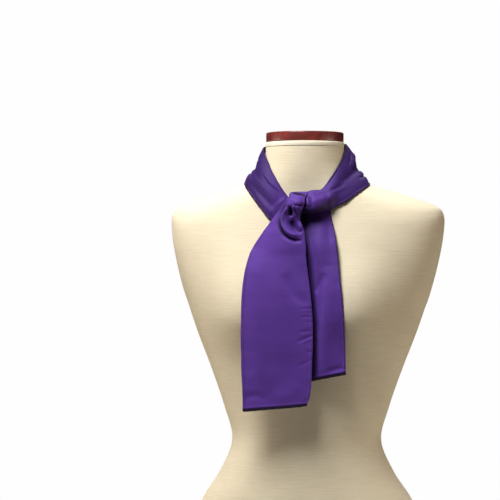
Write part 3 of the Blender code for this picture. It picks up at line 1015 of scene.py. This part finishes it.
# From here on the paths are x and height, as seen from the front.
LEFT_FOLDS = (
    Fold(-1.3, 1.4, 0.9, ((-57, 719), (-47, 706.5), (-37.5, 698), (-29, 691))),
    Fold(-3.2, 6.0, 5.0, ((-76, 712), (-66, 699), (-55, 688), (-44, 677), (-34, 668))),
    Fold(0.8, 3.0, 4.0, ((-66, 690), (-56, 677.5), (-42, 663.5), (-36, 656))),
    Fold(0.8, 3.0, 2.0, ((-42, 664), (-34, 674), (-26, 681), (-17, 688))),
    Fold(-0.7, 1.8, 2.6, ((-36, 662), (-28, 670), (-20, 676))),
)
CROSSING_FOLDS = (
    Fold(-6.0, 4.0, 4.0, ((-13, 676), (-11.5, 667), (-10, 657))),
    Fold(-4.0, 1.6, 1.4, ((4.6, 689), (6.4, 684.5), (8.4, 678), (10.8, 670))),
    Fold(2.4, 1.5, 1.7, ((9.6, 688), (10.6, 684), (12, 679), (14, 672))),
    Fold(-2.6, 2.4, 2.8, ((15, 690), (15.8, 684.2), (16.8, 676), (18, 667))),
    Fold(1.0, 3.2, 4.0, ((15, 679), (26, 681.5), (38, 684.5), (50, 690))),
    Fold(-2.0, 3.4, 3.0, ((24, 688.5), (33, 691.5), (42, 695.5), (53.4, 700.7), (62, 706), (74, 714))),
    Fold(-0.7, 3.0, 4.0, ((44, 686), (53, 691.5), (69.5, 698.4), (78, 703))),
    Fold(-0.8, 2.0, 3.0, ((38, 692), (39.5, 680), (38, 668))),
)
print("folds of the strip:", len(ROUND_FOLDS) + len(LEFT_FOLDS) + len(CROSSING_FOLDS))

# %% Rise of the strip
LEFT_ENDS, CROSSING_STARTS = -100, -305  # the turns that end and start those folds' reach
STRIP_SEEDS = 3, 4


def before(turn):
    """1 on the strip before a turn, 0 after it, and a soft step between."""
    return 1 / (1 + np.exp((turn - strip_turns) / 2))[:, None]


def strip_rise(points):
    """The strip's folds, hems and puckers together."""
    seen = points[..., (0, 2)]
    rise = sum(fold_rise(fold, strip_flat) for fold in ROUND_FOLDS)
    rise += before(LEFT_ENDS) * sum(fold_rise(fold, seen) for fold in LEFT_FOLDS)
    rise += (1 - before(CROSSING_STARTS)) * sum(fold_rise(fold, seen) for fold in CROSSING_FOLDS)
    across = strip_flat[..., 1]
    other_side = STRIP_WIDTH - across
    rise += hem_rise(np.minimum(across, other_side))
    rise += pucker_rise(strip_along[:, None], across, STRIP_SEEDS[0])
    return rise + pucker_rise(strip_along[:, None], other_side, STRIP_SEEDS[1])


# %% Lay the strip
CLOTH_LIFT = 0.8  # from a grid of points to the cloth's inner face
CLOTH_WALL = 0.6
ON_LINEN = 0.8
ON_SILK = CLOTH_LIFT + CLOTH_WALL + 0.4  # from a grid to that of the sheet under it
START_TURN, OVER_TURN = -70, -318  # the crossing lies over the strip's own start
torso_surface = surface_of(torso)
strip = relaxed(laid_on(soft_strip_points(strip_places, SHARES), torso_surface, ON_LINEN), 1)
strip = laid_on(with_folds(strip, strip_rise(strip)), torso_surface, ON_LINEN)
start = surface_of(strip[strip_turns > START_TURN])
over = strip_turns < OVER_TURN
strip[over] = laid_on(strip[over], start, ON_SILK)
print("strip laid:", strip.shape)

# %% [markdown]
# ## Painted light and shade on the silk
#
# Silk changes its tone with the light more than other cloth does: it is deep
# where it turns away, is crowded or lies in a shadow, and light where it hangs
# open.  Lamps alone don't give the whole of that, so light and shade are
# painted on.  Each point of a sheet holds a number, its *painted light*, as a
# named attribute, and the silk's colour is multiplied by it: less than 1 is
# painted shade, more than 1 a painted highlight.  It is worked out from the
# cloth's own shape: how far round the neck or down an end a point is, how near
# an edge, how deep in a fold, and how near the end in front, whose shadow is
# painted on the end behind.  Each table below is a list of pairs, a place and
# what holds there.


# %% Make a sheet of silk
# Hems are painted in shade this far in from an edge.
SHADED_HEM_REACH = 2  # how far in from an edge the hem is deeper


def looked_up(table, values):
    """Values found in a table of pairs, with straight lines between its rows."""
    places, found = np.array(table).T
    return np.interp(values, places, found)


def add_painted_light(item, painted_light):
    """Painted light and shade on the silk at each point, as an attribute that its material reads."""
    layer = item.data.attributes.new("painted_light", "FLOAT", "POINT")
    values = np.broadcast_to(np.ravel(painted_light), len(item.data.vertices))
    layer.data.foreach_set("value", values.astype(np.float32))


def edge_painted_shade(flat, width, left, right):
    """Painted shade where a rolled hem turns under: 1 is the cloth's own tone."""
    across = flat[..., 1]
    at_left = np.interp(across, (0, SHADED_HEM_REACH), (left, 1))
    return at_left * np.interp(width - across, (0, SHADED_HEM_REACH), (right, 1))


def fold_painted_shade(folds, seen, depth):
    """Painted shade down in the deep folds: 1 on the open cloth, a half at the given depth."""
    sunk = sum(np.minimum(fold_rise(fold, seen), 0) for fold in folds if fold.rise < -depth / 2)
    return 1 / (1 + (sunk / depth) ** 2)


def make_cloth(name, points, flat, painted_light):
    """A thin wall of silk that grows outward from a grid of points."""
    item = grid_mesh(name, points + normals_of(points) * CLOTH_LIFT, flat * MM, silk)
    add_painted_light(item, painted_light)
    wall = item.modifiers.new("wall", "SOLIDIFY")
    wall.thickness = CLOTH_WALL * MM
    wall.offset = 1
    return item


# %% Band and crossing
# Painted shade on the band and crossing: deeper as the strip turns away round the neck, at its hems,
# along the crossing's top edge and turned-under side, and in its deep folds.
ROUND_PAINTED_SHADE = (  # the turn round the neck, without its sign
    (12, 0.75), (25, 0.68), (38, 0.42), (52, 0.26), (75, 0.24), (110, 0.36), (250, 0.36),
    (285, 0.3), (305, 0.28), (318, 0.38), (330, 0.58), (345, 0.68), (377, 0.7))
CROSSING_PAINTED_SHADE = ((0.05, 0.6), (0.075, 0), (0.56, 0), (0.7, 0.8))  # the share of the width
CROSSING_SHADE_TURN = -328
BAND_EDGE_PAINTED_SHADE = 0.35, 0.35
BAND_SHADE_FOLD_DEPTH = 3
# The band's colour is multiplied by that painted shade.
strip_painted_shade = looked_up(ROUND_PAINTED_SHADE, -strip_turns)[:, None]
strip_painted_shade = strip_painted_shade * edge_painted_shade(strip_flat, STRIP_WIDTH, *BAND_EDGE_PAINTED_SHADE)
strip_painted_shade *= 1 - (1 - before(CROSSING_SHADE_TURN)) * looked_up(CROSSING_PAINTED_SHADE, SHARES)
crossing_fold_shade = fold_painted_shade(CROSSING_FOLDS, strip[..., (0, 2)], BAND_SHADE_FOLD_DEPTH)
strip_painted_shade *= 1 - (1 - before(OVER_TURN)) * (1 - crossing_fold_shade)
band = make_cloth("silk_band", strip, strip_flat, strip_painted_shade)
set_out(band, "silk", "scarf_band", "scarf_crossing")

# %% [markdown]
# ## The end behind
#
# This end comes out below the crossing and hangs behind the other.  At the top
# it is drawn together, so it has deep upright folds that open out lower down.

# %% Folds of the end behind
BEHIND_FOLDS = (
    Fold(-1.2, 4.0, 3.0, ((8, 658), (12, 640), (19, 611), (22, 585))),
    Fold(0.8, 6.0, 5.0, ((27, 668), (29.5, 640), (31, 602), (34, 560))),
    Fold(-0.5, 3.0, 4.5, ((37, 668), (40, 640), (44, 610), (46, 585))),
    Fold(-1.7, 6.0, 5.0, ((38, 580), (31, 567), (24, 551))),
    Fold(4.8, 15.0, 9.0, ((41, 590), (39, 535), (37, 490), (36, 438))),
    Fold(-1.2, 5.0, 4.0, ((62, 545), (64.5, 510), (65, 452))),
    Fold(-1.2, 4.0, 5.0, ((38, 442), (49, 446), (64, 450))),
)
print("folds of the end behind:", len(BEHIND_FOLDS))

# %% Grid and rise of a hanging end
CUT_WIDTH = 96  # the strip's flat width, finished
ACROSS_STEP = 1.25
HEM_STARTS = 6  # the length over which hems and puckers come in


def end_sheet(table, step):
    """A hanging end's grid of points, and where each is on the flat cloth, in millimetres."""
    def surface(places, shares):
        return end_points(table, places, shares)

    places, along = even_places(surface, 0, len(table) - 1, step, hem_at_end=True)
    shares = spread(CUT_WIDTH, ACROSS_STEP) / CUT_WIDTH
    flat = np.stack(np.meshgrid(along, shares * CUT_WIDTH, indexing="ij"), axis=-1)
    return surface(places, shares), flat


def end_rise(points, flat, folds, seeds, plain=0):
    """Folds, three hems and their puckers.  The hems begin past a plain length."""
    seen = points[..., (0, 2)]
    rise = sum(fold_rise(fold, seen) for fold in folds)
    along, across = flat[..., 0], flat[..., 1]
    below = along[-1, 0] - along
    nearest = np.minimum(np.minimum(across, CUT_WIDTH - across), below)
    sewn = hem_rise(nearest) + pucker_rise(along, across, seeds[0])
    sewn += pucker_rise(along, CUT_WIDTH - across, seeds[1]) + pucker_rise(across, below, seeds[2])
    return rise + sewn * np.clip((along - plain) / HEM_STARTS, 0, 1)


# %% End behind
BEHIND_STEP = 1.4
BEHIND_SEEDS = 11, 12, 13
behind, behind_flat = end_sheet(BEHIND_END_ROWS, BEHIND_STEP)
behind = relaxed(laid_on(behind, torso_surface, ON_LINEN), 2)
behind = with_folds(behind, end_rise(behind, behind_flat, BEHIND_FOLDS, BEHIND_SEEDS))
behind = laid_on(behind, torso_surface, ON_LINEN)

# The front end throws a shadow beside its right edge, and that shadow is painted on the silk there too.
FRONT_EDGE = ((424, 18), (512, 20), (577, 13), (612, 7.5), (640, 3))  # x of that edge by height
PAINTED_SHADOW_BESIDE_FRONT = ((5, 0.3), (10.5, 1))
# Painted shade on the end behind, deepest near the tie, and at its hems.
BEHIND_PAINTED_LIGHT = ((20, 0.55), (230, 1.05))  # the length down the end
BEHIND_EDGE_PAINTED_SHADE = 0.6, 0.45
# Painted shade at the bottom hem, then a painted highlight as a light line above it.
UNDER_PAINTED_LIGHT = ((0, 0.02), (4.9, 0.06), (6.3, 1), (7.2, 1.45), (8.4, 1.45), (9.6, 1))


def under_hem_painted_light(flat):
    """Painted shade, nearly black, on the strip along the bottom that turns under, and a painted
    highlight as a light line above it.
    """
    return looked_up(UNDER_PAINTED_LIGHT, flat[-1, 0, 0] - flat[..., 0])


# The end behind's colour takes the painted shadow, the painted shade and the bottom's painted highlight.
behind_painted_light = looked_up(PAINTED_SHADOW_BESIDE_FRONT, behind[..., 0] - looked_up(FRONT_EDGE, behind[..., 2]))
behind_painted_light *= looked_up(BEHIND_PAINTED_LIGHT, behind_flat[..., 0])
behind_painted_light *= edge_painted_shade(behind_flat, CUT_WIDTH, *BEHIND_EDGE_PAINTED_SHADE) * under_hem_painted_light(behind_flat)
behind_end = make_cloth("silk_end_behind", behind, behind_flat, behind_painted_light)
print("length:", round(behind_flat[-1, 0, 0]), "mm")
set_out(behind_end, "silk", "scarf_end_behind")

# %% [markdown]
# ## The wad of cloth in the tie
#
# Inside the tie the strip passes over itself several times.  None of those
# layers shows more than an edge, so one pleated lump stands for them and
# closes the gaps that light would otherwise come through.

# %% Core of the tie
CORE_MIDDLE, CORE_REACH = (-1, -93.5, 676), (20, 12, 14)
CORE_RINGS, CORE_POINTS = 44, 73
CORE_END = 0.999 * math.pi / 2  # just short of a pole, so that the last ring can be capped
PLEATS, PLEAT_DEPTH, PLEAT_TWIST = 7, 0.07, 2
UNDER_CROSSING = 0.5
CORE_PAINTED_SHADE = 0.6


def core_points():
    """Rings round an axis across the form, pleated lengthwise."""
    along = np.sin(np.linspace(-CORE_END, CORE_END, CORE_RINGS))[:, None]
    round_it = np.linspace(0, math.tau, CORE_POINTS)
    pleat = 1 - np.cos(PLEATS * round_it + PLEAT_TWIST * along)
    reach = np.sqrt(1 - along**2) * (1 - PLEAT_DEPTH * pleat / 2)
    x = CORE_MIDDLE[0] + CORE_REACH[0] * along + 0 * reach
    y = CORE_MIDDLE[1] + CORE_REACH[1] * reach * np.cos(round_it)
    z = CORE_MIDDLE[2] + CORE_REACH[2] * reach * np.sin(round_it)
    return np.stack([x, y, z], axis=-1)


def held_under(points, surface, clearance):
    """The points, moved in where they are too near the inner side of a surface."""
    moved = points.reshape(-1, 3).copy()
    for i, place in enumerate(moved):
        point = Vector(place)
        nearest, normal, _, _ = surface.find_nearest(point, LAYER_REACH)
        if nearest is not None and (point - nearest).dot(normal) > -clearance:
            moved[i] = nearest - normal * clearance
    return moved.reshape(points.shape)


core = held_under(core_points(), surface_of(strip[over]), UNDER_CROSSING)
under_core = (torso_surface, ON_LINEN), (start, ON_SILK), (surface_of(behind), ON_SILK)
core = laid_clear(core, under_core, blur=0)
tie_core = grid_mesh("silk_core", core, flat_round(core), silk, close=True, caps=True)
# The wad is painted in shade, as it lies deep in the tie.
add_painted_light(tie_core, CORE_PAINTED_SHADE)
set_out(tie_core, "silk", "scarf_core")

# %% [markdown]
# ## The end in front
#
# The other end comes up through the tie, turns down over the crossing, and
# fans out.  Where it turns, the cloth is drawn into a hollow with a raised rim
# like the lip of a shell.  Below, it hangs nearly flat, with a slack ripple
# and small puckers where the hem holds it.

# %% Folds of the end in front
# Paths of painted shade only, in the slit at the top and beside the rim.
PAINTED_SHADE_PATHS = (  # no folds of their own: the shade in the slit at the top and beside the rim
    Fold(-16, 1.3, 1.6, ((-11, 692.4), (-8.6, 691.6), (-3.7, 690.4), (2.1, 689.4), (6, 688.4),
                         (10, 687))),
    Fold(-6, 1.8, 3.4, ((-16, 678), (-22, 670), (-26.5, 661), (-28, 652), (-26.5, 643),
                        (-22, 635), (-15, 629))),
)
FRONT_FOLDS = (
    Fold(-2.6, 1.2, 1.4, ((-11, 692), (-8.6, 691.2), (-3.7, 690), (2.1, 689), (6, 688), (10, 687))),
    Fold(3.2, 1.4, 1.6, ((-8.5, 689.5), (-9.6, 683), (-12.6, 674), (-16.6, 667.5), (-20.2, 661.5),
                         (-22, 652.8), (-20.3, 645.5), (-16.3, 638.8), (-10.3, 634.2),
                         (-2.2, 632.8), (6, 634.5))),
    Fold(-4.5, 1.3, 1.5, ((-16, 691), (-14, 686.8), (-13.2, 682.5), (-14, 677))),
    Fold(-6.5, 1.7, 3.4, ((-15, 679), (-19, 673), (-23.5, 666), (-25.5, 656), (-24.5, 645),
                          (-20, 635.5), (-12, 629.5), (-2, 626), (6, 626))),
    Fold(-9.5, 2.6, 2.6, ((-11.8, 673.5), (-11.4, 669), (-11.1, 664), (-11, 658.5))),
    Fold(1.1, 1.0, 1.2, ((-14, 659), (-12.5, 657.6), (-9.5, 657), (-7, 659.5), (-5.4, 664))),
    Fold(-4.4, 5.2, 4.8, ((-10.5, 654), (-9, 647.5), (-5.5, 641.5), (-0.5, 637.5), (4, 634))),
    Fold(1.7, 1.5, 1.7, ((-6.9, 676), (-5.4, 667), (-4.7, 659), (-1.6, 651), (2, 644), (3.5, 637))),
    Fold(-4.0, 1.4, 1.4, ((-8, 676), (-3, 674), (2, 674), (8, 676))),
    Fold(1.4, 1.0, 1.0, ((-2.4, 675), (-1.6, 668), (-1.1, 660), (0.5, 652))),
    Fold(-2.0, 1.1, 1.1, ((-4.6, 673), (-3.9, 667), (-3.2, 661), (-1.2, 653.5))),
    Fold(-1.8, 9.0, 6.5, ((-20, 580), (-12, 563), (-5, 551), (4, 543), (16, 537))),
    Fold(1.4, 12.0, 15.0, ((-47, 630), (-58, 580), (-60, 525), (-54, 470), (-48, 405))),
    Fold(-1.2, 16.0, 12.0, ((-22, 610), (-12, 550), (-5, 490), (-9, 420))),
    Fold(1.2, 13.0, 12.0, ((-34, 404), (-14, 412), (4, 428))),
    Fold(-0.5, 2.0, 1.6, ((1, 530.5), (9, 530), (24, 530.8))),
    Fold(-0.35, 1.6, 1.9, ((6, 525), (14, 525.3), (24, 524.6))),
    Fold(-0.5, 1.7, 2.1, ((2, 519.2), (12, 519.6), (25, 519))),
    Fold(-0.3, 1.5, 1.8, ((8, 512.4), (15, 512), (25, 512.8))),
    Fold(-0.6, 2.2, 1.8, ((0, 498), (10, 498.6), (25, 500.5))),
    Fold(-0.9, 2.8, 2.2, ((-2, 483.5), (8, 488), (24, 494.5))),
    Fold(-0.45, 2.1, 1.8, ((6, 480), (14, 483), (24, 487))),
    Fold(-0.35, 1.6, 2.0, ((9, 469.5), (16, 470.6), (24, 471))),
    Fold(-0.55, 2.1, 2.6, ((-1, 450.5), (12, 456), (24, 460.5))),
    Fold(-1.4, 8.0, 5.0, ((-90, 482), (-76, 463), (-66, 436))),
    Fold(-1.2, 6.0, 5.0, ((-80, 402), (-60, 409), (-44, 402))),
    Fold(-0.9, 3.0, 4.0, ((6, 392), (12, 402), (20, 412))),
)
print("folds of the end in front:", len(FRONT_FOLDS))

# %% Lay the end in front
HOLLOW_MIDDLE, HOLLOW_REACH = (-7, 655), (12.5, 20)  # x and height
HOLLOW_DEPTH, RIM_RISE, RIM_SPREAD = 2.5, 1.6, 0.26
FRONT_STEP = 1.2
FRONT_SEEDS = 21, 22, 23
FRONT_PLAIN = 9  # hidden in the tie, so it has no hems
GATHERED_ALONG, GATHERED_IN = ((36, 1), (48, 0)), ((5, 1), (14, 0))


def hollow(points):
    """How far the front end stands out at its hollow and the hollow's rim."""
    side = (points[..., 0] - HOLLOW_MIDDLE[0]) / HOLLOW_REACH[0]
    up = (points[..., 2] - HOLLOW_MIDDLE[1]) / HOLLOW_REACH[1]
    away = np.hypot(side, up)
    rim = RIM_RISE * np.exp(-(((away - 1) / RIM_SPREAD) ** 2))
    return rim - HOLLOW_DEPTH * np.exp(-((away * 1.3) ** 4))


front, front_flat = end_sheet(FRONT_END_ROWS, FRONT_STEP)
front[..., 1] -= hollow(front)
under_front = (torso_surface, ON_LINEN), (surface_of(strip), ON_SILK), (surface_of(behind), ON_SILK)
front = relaxed(laid_clear(front, under_front), 2)
front_seen = front[..., (0, 2)]
front = with_folds(front, end_rise(front, front_flat, FRONT_FOLDS, FRONT_SEEDS, FRONT_PLAIN))
front = laid_clear(front, under_front)

# Where the edges are crowded together at the tie, they are smoothed once more.
at_edge = np.minimum(front_flat[..., 1], CUT_WIDTH - front_flat[..., 1])
gathered = looked_up(GATHERED_ALONG, front_flat[..., 0]) * looked_up(GATHERED_IN, at_edge)
front += (relaxed(front, 12) - front) * gathered[..., None]
print("length:", round(front_flat[-1, 0, 0]), "mm")

# %% End in front
# Painted shade on the end in front, deepest near the tie, and at its hems and deep folds.
FRONT_PAINTED_SHADE = ((60, 0.74), (320, 0.98))  # the length down the end
FRONT_EDGE_PAINTED_SHADE = 0.7, 0.95
FRONT_SHADE_FOLD_DEPTH = 4
# The front end's colour takes that painted shade and the bottom's painted shade and highlight.
front_painted_light = looked_up(FRONT_PAINTED_SHADE, front_flat[..., 0])
front_painted_light *= edge_painted_shade(front_flat, CUT_WIDTH, *FRONT_EDGE_PAINTED_SHADE) * under_hem_painted_light(front_flat)
front_painted_light *= fold_painted_shade(FRONT_FOLDS + PAINTED_SHADE_PATHS, front_seen, FRONT_SHADE_FOLD_DEPTH)
front_end = make_cloth("silk_end_front", front, front_flat, front_painted_light)
set_out(front_end, "silk", "scarf_turn", "scarf_end_front")

# %% [markdown]
# ## Hem stitches
#
# The hem is sewn with small running stitches.  Geometry Nodes set one shape
# along a line at an even spacing: *Curve to Points* gives each point and its
# direction, *Instance on Points* puts a short bead of thread there, and
# *Realize Instances* makes them real faces.

# %% Stitch tree
STITCH_SPACING, STITCH_LENGTH, THREAD_WIDTH = 2.8, 1.7, 0.3


def build_stitch_tree():
    """Beads of thread along the edges of a mesh."""
    tree = bpy.data.node_groups.new("hem stitches", "GeometryNodeTree")
    tree.interface.new_socket("Geometry", in_out="INPUT", socket_type="NodeSocketGeometry")
    for title in ("Spacing", "Length", "Width"):
        tree.interface.new_socket(title, in_out="INPUT", socket_type="NodeSocketFloat")
    tree.interface.new_socket("Thread", in_out="INPUT", socket_type="NodeSocketMaterial")
    tree.interface.new_socket("Geometry", in_out="OUTPUT", socket_type="NodeSocketGeometry")
    given = add_node(tree, "NodeGroupInput").outputs
    line = add_node(tree, "GeometryNodeMeshToCurve", {"Mesh": given["Geometry"]})
    points = add_node(tree, "GeometryNodeCurveToPoints", {"Curve": line.outputs["Curve"]})
    points.mode = "LENGTH"
    tree.links.new(given["Spacing"], points.inputs["Length"])
    bead = add_node(tree, "GeometryNodeMeshUVSphere", Segments=6, Rings=4, Radius=0.5)
    size = add_node(tree, "ShaderNodeCombineXYZ",
                    {"X": given["Width"], "Y": given["Width"], "Z": given["Length"]})
    place = add_node(tree, "GeometryNodeInstanceOnPoints",
                     {"Points": points.outputs["Points"], "Instance": bead.outputs["Mesh"],
                      "Rotation": points.outputs["Rotation"], "Scale": size.outputs["Vector"]})
    real = add_node(tree, "GeometryNodeRealizeInstances", {"Geometry": place.outputs["Instances"]})
    paint = add_node(tree, "GeometryNodeSetMaterial",
                     {"Geometry": real.outputs["Geometry"], "Material": given["Thread"]})
    add_node(tree, "NodeGroupOutput", {"Geometry": paint.outputs["Geometry"]})
    return tree


stitch_tree = build_stitch_tree()
print("tree:", stitch_tree.name)


# %% Thread
def make_thread():
    """Silk thread: the cloth's purple, a little deeper, with more sheen."""
    material, tree, shader = new_material("purple_thread")
    where = add_node(tree, "ShaderNodeTexCoord").outputs["Object"]
    tone = use_group(tree, tone_group, where, Patches_per_metre=900,
                     Light_tone=(0.125, 0.055, 0.31, 1), Dark_tone=(0.08, 0.03, 0.22, 1))
    tree.links.new(tone.outputs["Color"], shader.inputs["Base Color"])
    tree.links.new(ranged(tree, tone.outputs["Mask"], 0.45, 0.35), shader.inputs["Roughness"])
    set_inputs(shader, Sheen_Weight=0.3)
    return material


thread = make_thread()
print("material:", thread.name)


# %% Stitches along the hems
GROOVE_STATION = 3.6  # the place in a hem's spacing that lies in the groove


def hem_lines(points, first_row=0, bottom=True):
    """The grooves of a sheet's hems, on its outer face, from its first row in view."""
    groove = HEM_STATIONS.index(GROOVE_STATION)
    outer = points + normals_of(points) * (CLOTH_LIFT + CLOTH_WALL)
    last_row = -groove - 1 if bottom else len(points)
    lines = [outer[first_row:last_row, groove], outer[first_row:last_row, -groove - 1]]
    if bottom:
        lines.append(outer[last_row, groove:-groove])
    return lines


def make_stitches(name, lines):
    """Stitches along some lines, as a plain mesh."""
    mesh = bpy.data.meshes.new(name)
    corners, edges = [], []
    for line in lines:
        first = len(corners)
        corners += (line * MM).tolist()
        edges += [(i, i + 1) for i in range(first, len(corners) - 1)]
    mesh.from_pydata(corners, edges, [])
    item = add_item(name, mesh)
    sewing = item.modifiers.new("sewing", "NODES")
    sewing.node_group = stitch_tree
    values = {"Spacing": STITCH_SPACING * MM, "Length": STITCH_LENGTH * MM,
              "Width": THREAD_WIDTH * MM, "Thread": thread}
    for socket in stitch_tree.interface.items_tree:
        if socket.in_out == "INPUT" and socket.name in values:
            sewing[socket.identifier] = values[socket.name]
    evaluated = item.evaluated_get(bpy.context.evaluated_depsgraph_get())
    baked = bpy.data.meshes.new_from_object(evaluated)
    item.modifiers.clear()
    item.data = baked
    baked.shade_smooth()
    set_out(item, "silk")
    return item


band_stitches = make_stitches("band_stitches", hem_lines(strip, bottom=False))
front_stitches = make_stitches("front_stitches", hem_lines(front, first_row=20))
behind_stitches = make_stitches("behind_stitches", hem_lines(behind, first_row=4))
